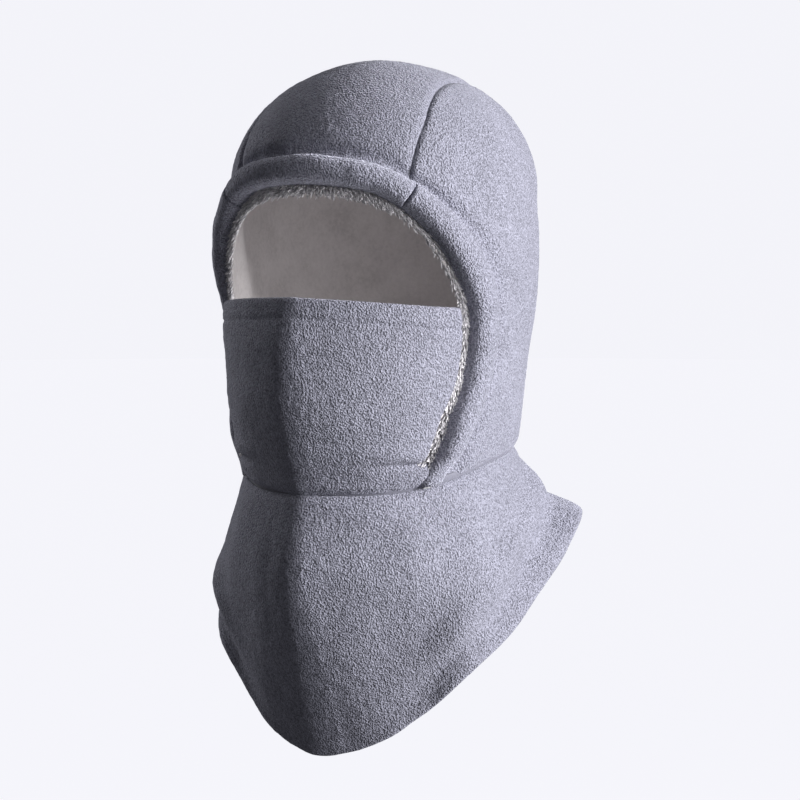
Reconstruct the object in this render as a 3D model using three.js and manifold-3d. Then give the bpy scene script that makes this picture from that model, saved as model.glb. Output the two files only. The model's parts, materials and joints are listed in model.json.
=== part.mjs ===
// A fleece balaclava for skiing, in millimetres, +Z up, the face looking along -Y.
// The origin is the point of the lining that rests on top of the wearer's head.
// Three hood panels, a rolled face binding with its elastic, a fold-down face mask,
// a chin strip and a neck cape, each with its own lining where it has one.
import * as THREE from 'three';
import { mergeVertices } from 'three/addons/utils/BufferGeometryUtils.js';
import Module from 'manifold-3d';

const wasm = await Module();
wasm.setup();

// ---- Driving dimensions ----------------------------------------------------

// Cloth layers, as depths below the outer surface.
const FLEECE = 2.6;
const LINING_FRONT = 2.9;
const LINING_BACK = 5.9;
const SKIN_GAP = 0.3;

// Hood: an elliptical dome above the widest level, and a tapering tube below it.
const CROWN_Z = LINING_BACK;
const WIDEST_Z = -70;
const HOOD_BOTTOM_Z = -262;
// Below that level the front comes to a soft ridge on the middle line: the cross-section there is
// |x / width| ** across + |y / depth| ** along = 1, and the back has one power for both terms.
const HOOD_HALF_WIDTH = [
  [-262, 72], [-235, 75.5], [-208, 79.5], [-172, 82.5], [-136, 87], [-100, 89], [-70, 88],
];
const HOOD_FRONT = [
  [-262, 91.3], [-235, 97.7], [-215, 105.6], [-185, 112.6], [-160, 112.9], [-136, 106.3], [-100, 99.3],
  [-70, 92],
];
const HOOD_BACK = [[-262, 88], [-235, 82], [-208, 82], [-172, 90], [-136, 102], [-100, 108], [-70, 107]];
const FRONT_ACROSS = [[-262, 1.6], [-150, 1.6], [-125, 1.72], [-98, 1.92], [-70, 2.05]];
const FRONT_ALONG = [[-262, 2.5], [-215, 2.6], [-150, 2.6], [-125, 2.42], [-98, 2.18], [-70, 2.05]];
const BACK_POWER = [[-250, 2.3], [-210, 2.4], [-150, 2.3], [-100, 2.1], [-70, 2.05]];
const DOME_RING_ANGLES = [76, 62, 48, 35, 23, 11, 0];
const TUBE_RING_LEVELS = [-94, -118, -142, -166, -190, -214, -238, -262];
const HOOD_COLUMNS = 32;

// Crown panel: half width as a function of the distance behind the face.
const CROWN_PANEL = [[-100, 57], [-56, 57], [-39, 53.5], [-22, 50], [4, 46.5], [60, 40], [108, 34]];
const LOWER_FACE_Z = -100;
const SEAM_GROOVE = 0.7;
const CROWN_THREAD_RADIUS = 0.35;
const CROWN_THREAD_DEPTH = 1.4;
const CROWN_THREAD_SPAN = { from: 14, to: 240.5, steps: 28 };

// Face binding: stations from the middle of the brow down to the neck seam,
// each [degrees round from the front, height, width].
const RIM_STATIONS = [
  [0, -57.5, 16.5],
  [13, -59, 16],
  [26, -62.5, 16],
  [37, -70.5, 16],
  [52.7, -88, 17.5],
  [68.3, -115, 20],
  [74.3, -130, 20],
  [77.7, -145, 20.3],
  [78.6, -160, 19.9],
  [77.7, -177, 18.5],
  [75.6, -190, 17],
  [71.7, -202, 15.5],
  [67, -220, 13.9],
  [61.6, -233, 12.9],
  [57.1, -246, 13],
  [55.3, -254, 13],
];
const RIM_STEPS = 48;
const BINDING_PROUD = 4.5;
const BINDING_BASE = -1.8;
const BINDING_CLEARANCE = 0.6;
const BINDING_JOIN_X = 56;
const CHANNEL = { halfWidth: 3.4, low: 0.15, high: 2.25 };
const RIM_ELASTIC = { halfWidth: 3, low: 0.5, high: 1.9 };
const LINING_FRINGE = 5.5;
const MASK_CLEARANCE = 1;

// Fold-down mask: its top edge dips towards the cheeks.
const MASK_TOP_Z = -130;
const MASK_TOP_DIP = 6;
const MASK_HALF_WIDTH = 78;
const MASK_HEM = 12;
const MASK_HEM_EDGE = 2.4;
const MASK_HEM_FOLD = { front: 4.9, back: 7.3 };
const MASK_ELASTIC = { front: 2.95, back: 4.5, below: 3, above: 10.5 };
const FOLD_Z = -226;
const FOLD_GAP = 0.4;

// Neck seam: height as a function of the distance behind the face.
const NECK_SEAM = [
  [-100, -243], [-86, -242.8], [-75, -241.8], [-63, -240], [-41, -235.5], [-20, -231], [13, -226.5],
  [50, -224], [100, -223],
];
const NECK_GROOVE = 1.1;
const NECK_THREAD_RADIUS = 0.7;

// Cape: hem radius, hem height, and how far the cloth leans out at seam and hem.
// Each is given by degrees round from the front.
const HEM_RADIUS = [
  [0, 78], [15, 76], [30, 78], [45, 84], [60, 95.8], [75, 99], [90, 101], [110, 111.5], [124, 121.5],
  [140, 116], [160, 112], [180, 110],
];
const HEM_Z = [
  [0, -399], [15, -395.3], [30, -386.4], [45, -366.7], [60, -340.4], [75, -326.6], [90, -309.8],
  [110, -284.6], [124, -265], [140, -262], [180, -260],
];
const HEM_SAG = { depth: 8, degrees: 56, spread: 17 }; // the hem hangs lower on the wearer's left
const LEAN_AT_SEAM = [[0, 20], [45, 19], [60, 8.3], [75, 15], [100, 12], [124, 6], [150, 10], [180, 14]];
const LEAN_AT_HEM = [[0, -20], [45, -12], [60, -15], [75, -1], [100, 24], [124, 50], [150, 38], [180, 34]];
const CAPE_TENSION = 0.42;
const CAPE_COLUMNS = 32;
const CAPE_ROWS = [0, 0.14, 0.3, 0.48, 0.65, 0.83, 1];
const CAPE_HEM = 10;
const CAPE_HEM_MARGIN = 3;
const BACK_SEAM_GAP = 0.3;

const FLEECE_COLOUR = 0x8f8f9c;
const LINING_COLOUR = 0xb7b3b3;
const THREAD_COLOUR = 0xa3a3b0;
const ELASTIC_COLOUR = 0xd8d8d8;

// ---- Curves ----------------------------------------------------------------

// Smooth curve through [x, value] pairs that never overshoots them.
function curve(pairs, x) {
  const last = pairs.length - 1;
  if (x <= pairs[0][0]) return pairs[0][1];
  if (x >= pairs[last][0]) return pairs[last][1];
  let i = 0;
  while (x > pairs[i + 1][0]) i += 1;
  const width = pairs[i + 1][0] - pairs[i][0];
  const u = (x - pairs[i][0]) / width;
  const a = slopeAt(pairs, i) * width;
  const b = slopeAt(pairs, i + 1) * width;
  const p = pairs[i][1];
  const q = pairs[i + 1][1];
  return p * (1 + 2 * u) * (1 - u) ** 2 + q * u * u * (3 - 2 * u) + a * u * (1 - u) ** 2 - b * u * u * (1 - u);
}

function slopeAt(pairs, i) {
  if (i === 0 || i === pairs.length - 1) return 0;
  const before = (pairs[i][1] - pairs[i - 1][1]) / (pairs[i][0] - pairs[i - 1][0]);
  const after = (pairs[i + 1][1] - pairs[i][1]) / (pairs[i + 1][0] - pairs[i][0]);
  if (before * after <= 0) return 0;
  return (2 * before * after) / (before + after);
}

// ---- Hood surface ----------------------------------------------------------

function hoodSection(z) {
  return {
    width: curve(HOOD_HALF_WIDTH, z),
    front: curve(HOOD_FRONT, z),
    back: curve(HOOD_BACK, z),
    across: curve(FRONT_ACROSS, z),
    along: curve(FRONT_ALONG, z),
    backPower: curve(BACK_POWER, z),
  };
}

// Depth and powers of the half, front or back, that a point lies in.
function hoodHalf(z, isFront) {
  const { width, front, back, across, along, backPower } = hoodSection(z);
  if (isFront) return { width, depth: front, across, along };
  return { width, depth: back, across: backPower, along: backPower };
}

// Point of the outer surface at a height and an angle round from the front.
function hoodPoint(z, angle) {
  const s = Math.sin(angle);
  const c = Math.cos(angle);
  const { width, depth, across, along } = hoodHalf(z, c > 0);
  const rise = Math.max(z - WIDEST_Z, 0) / (CROWN_Z - WIDEST_Z);
  const shrink = Math.sqrt(Math.max(1 - rise * rise, 0));
  const x = Math.sign(s) * width * Math.abs(s) ** (2 / across);
  const y = -Math.sign(c) * depth * Math.abs(c) ** (2 / along);
  return new THREE.Vector3(x * shrink, y * shrink, z);
}

// Zero on the outer surface, negative inside it.
function hoodField(p) {
  const { width, depth, across, along } = hoodHalf(p.z, p.y < 0);
  const sum = Math.abs(p.x / width) ** across + Math.abs(p.y / depth) ** along;
  const rise = Math.max(p.z - WIDEST_Z, 0) / (CROWN_Z - WIDEST_Z);
  return sum ** (4 / (across + along)) + rise * rise - 1;
}

function hoodGradient(p) {
  const step = 0.05;
  const slope = (axis) => {
    const a = p.clone();
    const b = p.clone();
    a[axis] += step;
    b[axis] -= step;
    return (hoodField(a) - hoodField(b)) / (2 * step);
  };
  return new THREE.Vector3(slope('x'), slope('y'), slope('z'));
}

function hoodNormal(p) {
  return hoodGradient(p).normalize();
}

function ontoHood(p) {
  const q = p.clone();
  for (let i = 0; i < 3; i += 1) {
    const gradient = hoodGradient(q);
    q.addScaledVector(gradient, -hoodField(q) / gradient.lengthSq());
  }
  return q;
}

// ---- Solids ----------------------------------------------------------------

function meshOf(points, faces) {
  const positions = new Float32Array(points.flatMap((p) => [p.x, p.y, p.z]));
  return new wasm.Manifold(new wasm.Mesh({
    numProp: 3,
    vertProperties: positions,
    triVerts: new Uint32Array(faces.flat()),
  }));
}

// Closed solid through rings of equal count; an end is closed to its middle.
function ringSolid(rings, firstPoint, lastPoint) {
  const count = rings[0].length;
  const points = rings.flat();
  const faces = [];
  for (let r = 0; r + 1 < rings.length; r += 1) {
    for (let i = 0; i < count; i += 1) {
      const j = (i + 1) % count;
      const a = r * count + i;
      const b = r * count + j;
      faces.push([a, b, b + count], [a, b + count, a + count]);
    }
  }
  const first = points.length;
  const last = first + 1;
  points.push(firstPoint ?? middleOf(rings[0]));
  points.push(lastPoint ?? middleOf(rings[rings.length - 1]));
  const base = (rings.length - 1) * count;
  for (let i = 0; i < count; i += 1) {
    const j = (i + 1) % count;
    faces.push([first, j, i], [last, base + i, base + j]);
  }
  return meshOf(points, faces);
}

function middleOf(ring) {
  const sum = new THREE.Vector3();
  ring.forEach((p) => sum.add(p));
  return sum.divideScalar(ring.length);
}

// The hood's solid inside a depth, its bottom lowered by extra millimetres.
function hoodSolid(depth, extra = 0) {
  const dome = DOME_RING_ANGLES.map((a) => WIDEST_Z + (CROWN_Z - WIDEST_Z) * Math.sin(THREE.MathUtils.degToRad(a)));
  const levels = [...dome, ...TUBE_RING_LEVELS].reverse();
  const rings = levels.map((z) => {
    const ring = [];
    for (let i = 0; i < HOOD_COLUMNS; i += 1) {
      const p = hoodPoint(z, (2 * Math.PI * i) / HOOD_COLUMNS);
      ring.push(p.addScaledVector(hoodNormal(p), -depth));
    }
    return ring;
  });
  const lowest = rings[0].map((p) => p.clone().setZ(HOOD_BOTTOM_Z - 4 - extra));
  return ringSolid([lowest, ...rings], null, new THREE.Vector3(0, 0, CROWN_Z - depth));
}

function hoodShell(front, back) {
  return hoodSolid(front).subtract(hoodSolid(back, 12));
}

// A prism of an outline; axes tells which way the outline and its length lie.
function prism(outline, from, to, axes) {
  const shape = new THREE.Shape(outline.map(([a, b]) => new THREE.Vector2(a, b)));
  const geometry = new THREE.ExtrudeGeometry(shape, { depth: to - from, bevelEnabled: false });
  geometry.translate(0, 0, from);
  geometry.applyMatrix4(axes);
  geometry.deleteAttribute('normal');
  geometry.deleteAttribute('uv');
  const merged = mergeVertices(geometry, 1e-4);
  return new wasm.Manifold(new wasm.Mesh({
    numProp: 3,
    vertProperties: new Float32Array(merged.attributes.position.array),
    triVerts: new Uint32Array(merged.index.array),
  }));
}

const ALONG_X = new THREE.Matrix4().makeBasis(
  new THREE.Vector3(0, 1, 0),
  new THREE.Vector3(0, 0, 1),
  new THREE.Vector3(1, 0, 0),
);
const ALONG_Y = new THREE.Matrix4().makeBasis(
  new THREE.Vector3(1, 0, 0),
  new THREE.Vector3(0, 0, 1),
  new THREE.Vector3(0, -1, 0),
);
const ALONG_Z = new THREE.Matrix4();

// ---- Face rim --------------------------------------------------------------

function mirrored(column, sign) {
  const right = RIM_STATIONS.map((station, i) => [i, station[column]]);
  const left = right.slice(1).reverse().map(([i, value]) => [-i, sign * value]);
  return [...left, ...right];
}

const RIM_ANGLE = mirrored(0, -1);
const RIM_HEIGHT = mirrored(1, 1);
const RIM_WIDTH = mirrored(2, 1);
const RIM_END = RIM_STATIONS.length - 1;

function rimPoint(station) {
  const angle = THREE.MathUtils.degToRad(curve(RIM_ANGLE, station));
  return hoodPoint(curve(RIM_HEIGHT, station), angle);
}

// Evenly spaced frames along part of the rim, from the wearer's right to left.
function rimFrames(from, to, steps) {
  const fine = [];
  for (let i = 0; i <= 600; i += 1) {
    const station = from + ((to - from) * i) / 600;
    fine.push({ station, point: rimPoint(station) });
  }
  const travelled = [0];
  for (let i = 1; i < fine.length; i += 1) {
    travelled.push(travelled[i - 1] + fine[i].point.distanceTo(fine[i - 1].point));
  }
  const frames = [];
  for (let k = 0; k <= steps; k += 1) {
    const goal = (travelled[600] * k) / steps;
    const i = Math.min(travelled.findIndex((d) => d >= goal - 1e-9), 600);
    frames.push(rimFrame(fine[i].station));
  }
  return frames;
}

function rimFrame(station) {
  const point = rimPoint(station);
  const normal = hoodNormal(point);
  const tangent = rimPoint(station + 0.02).sub(rimPoint(station - 0.02)).normalize();
  const outward = new THREE.Vector3().crossVectors(normal, tangent).normalize();
  return { point, outward, halfWidth: curve(RIM_WIDTH, station) / 2 };
}

// Point at a distance across the rim (positive away from the opening) and a height over the cloth.
function rimOffset(frame, across, height) {
  const p = ontoHood(frame.point.clone().addScaledVector(frame.outward, across));
  return p.addScaledVector(hoodNormal(p), height);
}

function rimSweep(frames, profile) {
  return ringSolid(frames.map((frame) => profile(frame.halfWidth).map(([a, h]) => rimOffset(frame, a, h))));
}

function bindingProfile(b) {
  return [
    [-b, BINDING_BASE],
    [0, BINDING_BASE],
    [b, BINDING_BASE],
    [b, 0.8],
    [0.82 * b, 2.8],
    [0.45 * b, 4.1],
    [0, BINDING_PROUD],
    [-0.45 * b, 4.1],
    [-0.82 * b, 2.8],
    [-b, 0.8],
  ];
}

function bandProfile({ halfWidth, low, high }) {
  return () => [[-halfWidth, low], [halfWidth, low], [halfWidth, high], [-halfWidth, high]];
}

function clearanceProfile(b) {
  const reach = b + BINDING_CLEARANCE;
  return [[-reach, -3.8], [reach, -3.8], [reach, 8], [-reach, 8]];
}

// Everything in front of a line that runs round the rim, seen from the side.
function openingPrism(inset) {
  const frames = rimFrames(0, RIM_END, RIM_STEPS / 2);
  const line = frames.map((frame) => rimOffset(frame, inset(frame.halfWidth), 0));
  const outline = [[-200, line[0].z], ...line.map((p) => [p.y, p.z])];
  const end = line[line.length - 1];
  outline.push([end.y, -300], [-200, -300]);
  return prism(outline, -130, 130, ALONG_X);
}

// ---- Seams -----------------------------------------------------------------

// Everything below the neck seam raised by a distance.
function belowNeckSeam(raise) {
  const line = [];
  for (let y = -120; y <= 130; y += 10) {
    line.push([y, curve(NECK_SEAM, y) + raise]);
  }
  return prism([[-120, -320], ...line, [130, -320]].reverse(), -130, 130, ALONG_X);
}

// What lies between the two crown seams, widened by a distance, without the lower face.
function crownStrip(widen) {
  const side = [];
  for (let y = -130; y <= 140; y += 10) {
    side.push([curve(CROWN_PANEL, y) + widen, y]);
  }
  const other = side.map(([x, y]) => [-x, y]).reverse();
  const strip = prism([...side, ...other], -320, 40, ALONG_Z);
  const lowerFace = [[-150, -330], [0, -330], [0, LOWER_FACE_Z], [-150, LOWER_FACE_Z]];
  return strip.subtract(prism(lowerFace, -130, 130, ALONG_X));
}

function halfSpace(side) {
  const near = side > 0 ? 0 : -140;
  return prism([[near, -140], [near + 140, -140], [near + 140, 150], [near, 150]], -320, 40, ALONG_Z);
}

function tube(path, radius, sides) {
  const rings = path.map((p, i) => {
    const ahead = path[Math.min(i + 1, path.length - 1)];
    const behind = path[Math.max(i - 1, 0)];
    const tangent = ahead.point.clone().sub(behind.point).normalize();
    const side = new THREE.Vector3().crossVectors(tangent, p.normal).normalize();
    const ring = [];
    for (let k = 0; k < sides; k += 1) {
      const angle = (2 * Math.PI * k) / sides;
      const q = p.point.clone().addScaledVector(side, radius * Math.cos(angle));
      ring.push(q.addScaledVector(p.normal, -radius * Math.sin(angle)));
    }
    return ring;
  });
  return ringSolid(rings);
}

// Point where the crown seam meets a ray from the middle of the widest level.
function crownSeamPoint(side, angle) {
  let near = 0;
  let far = 200;
  const at = (reach) => {
    const y = -reach * Math.cos(angle);
    const z = WIDEST_Z + reach * Math.sin(angle);
    return new THREE.Vector3(side * curve(CROWN_PANEL, y), y, z);
  };
  for (let i = 0; i < 40; i += 1) {
    const middle = (near + far) / 2;
    if (hoodField(at(middle)) < 0) near = middle;
    else far = middle;
  }
  return at(near);
}

// The groove between the panels runs straight down, so the thread sinks along it.
function crownSeamThread(side) {
  const path = [];
  const { from, to, steps } = CROWN_THREAD_SPAN;
  for (let i = 0; i <= steps; i += 1) {
    const angle = THREE.MathUtils.degToRad(from + ((to - from) * i) / steps);
    const point = crownSeamPoint(side, angle);
    const normal = hoodNormal(point).setX(0).normalize();
    point.addScaledVector(normal, -CROWN_THREAD_DEPTH);
    point.setX(side * curve(CROWN_PANEL, point.y));
    path.push({ point, normal });
  }
  return tube(path, CROWN_THREAD_RADIUS, 5);
}

function neckSeamPoint(angle) {
  let z = -240;
  for (let i = 0; i < 8; i += 1) {
    z = curve(NECK_SEAM, hoodPoint(z, angle).y);
  }
  return hoodPoint(z, angle);
}

function neckSeamThread() {
  const path = [];
  const steps = 40;
  for (let i = 0; i <= steps; i += 1) {
    const angle = -Math.PI + 0.02 + ((2 * Math.PI - 0.04) * i) / steps;
    const point = neckSeamPoint(angle);
    path.push({ point, normal: hoodNormal(point) });
  }
  return tube(path, NECK_THREAD_RADIUS, 5);
}

// ---- Cape ------------------------------------------------------------------

function hemHeight(angle) {
  const degrees = THREE.MathUtils.radToDeg(angle);
  const sag = Math.exp(-(((degrees - HEM_SAG.degrees) / HEM_SAG.spread) ** 2));
  return curve(HEM_Z, Math.abs(degrees)) - HEM_SAG.depth * sag;
}

function capePoint(angle, fall) {
  const degrees = Math.abs(THREE.MathUtils.radToDeg(angle));
  const top = neckSeamPoint(angle);
  const out = new THREE.Vector3(Math.sin(angle), -Math.cos(angle), 0);
  const hem = out.clone().multiplyScalar(curve(HEM_RADIUS, degrees)).setZ(hemHeight(angle));
  const pull = top.distanceTo(hem) * CAPE_TENSION;
  const lean = (value) => {
    const a = THREE.MathUtils.degToRad(value);
    return out.clone().multiplyScalar(Math.sin(a)).setZ(-Math.cos(a));
  };
  const a = top.clone().addScaledVector(lean(curve(LEAN_AT_SEAM, degrees)), pull);
  const b = hem.clone().addScaledVector(lean(curve(LEAN_AT_HEM, degrees)), -pull);
  return new THREE.CubicBezierCurve3(top, a, b, hem).getPoint(fall);
}

function capeNormal(angle, fall) {
  const round = capePoint(angle + 0.002, fall).sub(capePoint(angle - 0.002, fall));
  const down = capePoint(angle, Math.min(fall + 0.004, 1)).sub(capePoint(angle, Math.max(fall - 0.004, 0)));
  return new THREE.Vector3().crossVectors(down, round).normalize();
}

function capeLength(angle) {
  let length = 0;
  for (let i = 0; i < 24; i += 1) {
    length += capePoint(angle, i / 24).distanceTo(capePoint(angle, (i + 1) / 24));
  }
  return length;
}

// Cloth between two depths round the neck, open at a seam up the middle of the back.
// Each row is [fraction of the fall above the hem, millimetres added, front depth, back depth].
function capeSolid(rows) {
  const start = -Math.PI + BACK_SEAM_GAP / 2 / curve(HEM_RADIUS, 180);
  const columns = [];
  for (let c = 0; c <= CAPE_COLUMNS; c += 1) {
    const angle = start + (-2 * start * c) / CAPE_COLUMNS;
    const length = capeLength(angle);
    const hemStart = 1 - (CAPE_HEM + CAPE_HEM_MARGIN) / length;
    const layers = rows.map(([fall, shift, front, back]) => {
      const at = Math.min(fall * hemStart + shift / length, 1);
      const point = capePoint(angle, at);
      const normal = capeNormal(angle, at);
      return [
        point.clone().addScaledVector(normal, -front),
        point.clone().addScaledVector(normal, -back),
      ];
    });
    columns.push([...layers.map((l) => l[0]), ...layers.map((l) => l[1]).reverse()]);
  }
  return stripSolid(columns, rows.length);
}

// Closed solid of columns whose points run down one face and back up the other.
// Both faces are split along the same diagonals, so that stacked layers stay parallel.
function stripSolid(columns, rowCount) {
  const count = 2 * rowCount;
  const points = columns.flat();
  const faces = [];
  for (let c = 0; c + 1 < columns.length; c += 1) {
    for (let i = 0; i < count; i += 1) {
      const j = (i + 1) % count;
      const a = c * count + i;
      const b = c * count + j;
      if (i < rowCount) faces.push([a, b, b + count], [a, b + count, a + count]);
      else faces.push([a, b, a + count], [b, b + count, a + count]);
    }
  }
  const last = (columns.length - 1) * count;
  for (let i = 0; i + 1 < rowCount; i += 1) {
    const j = count - 1 - i;
    faces.push([i, j, i + 1], [i + 1, j, j - 1]);
    faces.push([last + i, last + i + 1, last + j], [last + i + 1, last + j - 1, last + j]);
  }
  return meshOf(points, faces);
}

function capeOuter() {
  const rows = CAPE_ROWS.map((fall) => [fall, fall === 0 ? NECK_GROOVE : 0, 0, FLEECE]);
  rows.push([1, CAPE_HEM_MARGIN - 0.3, 0, FLEECE]);
  rows.push([1, CAPE_HEM_MARGIN, 0, LINING_BACK]);
  rows.push([1, CAPE_HEM_MARGIN + CAPE_HEM, 0, LINING_BACK]);
  return capeSolid(rows);
}

function capeLining() {
  const rows = CAPE_ROWS.map((fall) => [fall, fall === 0 ? SKIN_GAP : 0, LINING_FRONT, LINING_BACK]);
  rows.push([1, CAPE_HEM_MARGIN - 1, LINING_FRONT, LINING_BACK]);
  return capeSolid(rows);
}

// ---- Mask ------------------------------------------------------------------

// Everything below the mask's top edge lowered by a distance, down to the fold.
function maskBand(lower, upTo) {
  const top = [];
  const bottom = [];
  for (let x = -96; x <= 96; x += 16) {
    const edge = MASK_TOP_Z - MASK_TOP_DIP * (x / MASK_HALF_WIDTH) ** 2;
    top.push([x, edge - lower]);
    bottom.push([x, upTo === null ? FOLD_Z : edge - upTo]);
  }
  return prism([...bottom, ...top.reverse()], 0, 150, ALONG_Y);
}

function maskOuter(face) {
  const front = hoodShell(0, FLEECE).intersect(maskBand(0, null));
  const edge = hoodShell(0, MASK_HEM_FOLD.back).intersect(maskBand(0, MASK_HEM_EDGE));
  const fold = hoodShell(MASK_HEM_FOLD.front, MASK_HEM_FOLD.back).intersect(maskBand(0, MASK_HEM));
  return front.add(edge).add(fold).intersect(face);
}

function maskLining(face) {
  return hoodShell(LINING_FRONT, LINING_BACK).intersect(maskBand(MASK_HEM + SKIN_GAP, null)).intersect(face);
}

function maskElastic(face) {
  const { front, back, below, above } = MASK_ELASTIC;
  return hoodShell(front, back).intersect(maskBand(below, above)).intersect(face);
}

// ---- Assembly --------------------------------------------------------------

function fleece(colour, roughness = 1) {
  return new THREE.MeshStandardMaterial({ color: colour, roughness, metalness: 0 });
}

function named(name, solid, colour) {
  const { vertProperties, triVerts } = solid.getMesh();
  const geometry = new THREE.BufferGeometry();
  geometry.setAttribute('position', new THREE.BufferAttribute(new Float32Array(vertProperties), 3));
  geometry.setIndex(new THREE.BufferAttribute(new Uint32Array(triVerts), 1));
  geometry.computeVertexNormals();
  const mesh = new THREE.Mesh(geometry, fleece(colour));
  mesh.name = name;
  return mesh;
}

// Station at which the rim crosses the join between brow and cheek bindings.
function joinStation() {
  let low = 0;
  let high = 5;
  for (let i = 0; i < 40; i += 1) {
    const middle = (low + high) / 2;
    if (rimPoint(middle).x < BINDING_JOIN_X) low = middle;
    else high = middle;
  }
  return low;
}

const rimLine = rimSweep(rimFrames(-RIM_END, RIM_END, RIM_STEPS), clearanceProfile);
const behindBinding = openingPrism(() => 0);
const fringeOpening = openingPrism((b) => -b - LINING_FRINGE);
const fringeOpeningWithGap = openingPrism((b) => -b - LINING_FRINGE - SKIN_GAP);
const maskFace = openingPrism((b) => -b - LINING_FRINGE - MASK_CLEARANCE);
const belowOuterSeam = belowNeckSeam(NECK_GROOVE);
const belowLiningSeam = belowNeckSeam(SKIN_GAP);
const belowFold = prism([[-140, -320], [140, -320], [140, FOLD_Z - FOLD_GAP], [-140, FOLD_Z - FOLD_GAP]], 0, 150, ALONG_Y);

const outerCloth = hoodShell(0, FLEECE).subtract(belowOuterSeam);
const liningCloth = hoodShell(LINING_FRONT, LINING_BACK).subtract(belowLiningSeam);
const outerHood = outerCloth.subtract(rimLine).subtract(behindBinding);
const liningHood = liningCloth.subtract(fringeOpening);

function sidePart(cloth, groove, side) {
  return cloth.subtract(crownStrip(groove)).intersect(halfSpace(side));
}

function binding(from, to, steps) {
  const frames = rimFrames(from, to, steps);
  const channelFrames = rimFrames(Math.max(from - 0.12, -RIM_END), Math.min(to + 0.12, RIM_END), steps + 2);
  const roll = rimSweep(frames, bindingProfile).subtract(belowOuterSeam);
  return roll.subtract(rimSweep(channelFrames, bandProfile(CHANNEL)));
}

const join = joinStation();
const joinGap = 0.012;
const elastic = rimSweep(rimFrames(-RIM_END, RIM_END, RIM_STEPS), bandProfile(RIM_ELASTIC));

const balaclava = new THREE.Group();
balaclava.name = 'balaclava';
balaclava.add(
  named('crown_panel', outerHood.intersect(crownStrip(-SEAM_GROOVE)), FLEECE_COLOUR),
  named('left_side_panel', sidePart(outerHood, SEAM_GROOVE, 1), FLEECE_COLOUR),
  named('right_side_panel', sidePart(outerHood, SEAM_GROOVE, -1), FLEECE_COLOUR),
  named('crown_lining', liningHood.intersect(crownStrip(-SKIN_GAP / 2)), LINING_COLOUR),
  named('left_lining', sidePart(liningHood, SKIN_GAP / 2, 1), LINING_COLOUR),
  named('right_lining', sidePart(liningHood, SKIN_GAP / 2, -1), LINING_COLOUR),
  named('brow_binding', binding(-join + joinGap, join - joinGap, 12), FLEECE_COLOUR),
  named('left_binding', binding(join + joinGap, RIM_END - 0.3, 20), FLEECE_COLOUR),
  named('right_binding', binding(-RIM_END + 0.3, -join - joinGap, 20), FLEECE_COLOUR),
  named('opening_elastic', elastic.subtract(belowOuterSeam), ELASTIC_COLOUR),
  named('chin_strip', outerCloth.intersect(behindBinding).subtract(rimLine).intersect(belowFold), FLEECE_COLOUR),
  named('chin_strip_lining', liningCloth.intersect(fringeOpeningWithGap).intersect(belowFold), LINING_COLOUR),
  named('mask_outer', maskOuter(maskFace), FLEECE_COLOUR),
  named('mask_lining', maskLining(maskFace), LINING_COLOUR),
  named('mask_top_elastic', maskElastic(maskFace), ELASTIC_COLOUR),
  named('cape_outer', capeOuter(), FLEECE_COLOUR),
  named('cape_lining', capeLining(), LINING_COLOUR),
  named('crown_seam_left', crownSeamThread(1), THREAD_COLOUR),
  named('crown_seam_right', crownSeamThread(-1), THREAD_COLOUR),
  named('neck_seam', neckSeamThread(), THREAD_COLOUR),
);

export default balaclava;
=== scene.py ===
# The visual model of a fleece balaclava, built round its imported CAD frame.
# Lengths are in millimetres until a mesh is made, and in metres from there on.
import json
import math

import bpy
import numpy as np
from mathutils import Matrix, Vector


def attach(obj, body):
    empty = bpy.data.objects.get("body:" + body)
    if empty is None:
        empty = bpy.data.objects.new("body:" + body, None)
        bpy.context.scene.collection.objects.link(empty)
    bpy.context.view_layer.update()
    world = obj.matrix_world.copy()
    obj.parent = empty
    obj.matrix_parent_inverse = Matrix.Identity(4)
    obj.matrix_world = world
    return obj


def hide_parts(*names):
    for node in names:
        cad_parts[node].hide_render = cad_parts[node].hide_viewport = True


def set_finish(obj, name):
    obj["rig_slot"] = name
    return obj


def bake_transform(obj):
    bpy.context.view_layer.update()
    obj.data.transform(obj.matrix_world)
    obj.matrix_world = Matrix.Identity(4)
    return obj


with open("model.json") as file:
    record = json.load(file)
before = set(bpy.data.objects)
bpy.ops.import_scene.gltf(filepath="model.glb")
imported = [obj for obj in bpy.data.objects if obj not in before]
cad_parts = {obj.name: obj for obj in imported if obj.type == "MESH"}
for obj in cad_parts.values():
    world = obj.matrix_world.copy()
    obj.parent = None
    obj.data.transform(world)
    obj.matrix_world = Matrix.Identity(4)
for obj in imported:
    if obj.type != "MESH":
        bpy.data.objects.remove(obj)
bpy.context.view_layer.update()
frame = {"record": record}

RNG = np.random.default_rng(7)
MM = 0.001

# ---- Dimensions shared with the CAD, in millimetres and degrees 

CROWN_Z = 5.9
WIDEST_Z = -70.0
DOME = CROWN_Z - WIDEST_Z
# Sections of the hood: pairs of height and size.
HOOD_HALF_WIDTH = [(-262, 72), (-235, 75.5), (-208, 79.5), (-172, 82.5), (-136, 87), (-100, 89), (-70, 88)]
HOOD_FRONT = [
    (-262, 91.3), (-235, 97.7), (-215, 105.6), (-185, 112.6), (-160, 112.9), (-136, 106.3), (-100, 99.3),
    (-70, 92),
]
HOOD_BACK = [(-262, 88), (-235, 82), (-208, 82), (-172, 90), (-136, 102), (-100, 108), (-70, 107)]
# Powers of the sections' rounded corners: pairs of height and power.
FRONT_ACROSS = [(-262, 1.6), (-150, 1.6), (-125, 1.72), (-98, 1.92), (-70, 2.05)]
FRONT_ALONG = [(-262, 2.5), (-215, 2.6), (-150, 2.6), (-125, 2.42), (-98, 2.18), (-70, 2.05)]
BACK_POWER = [(-250, 2.3), (-210, 2.4), (-150, 2.3), (-100, 2.1), (-70, 2.05)]
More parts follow.
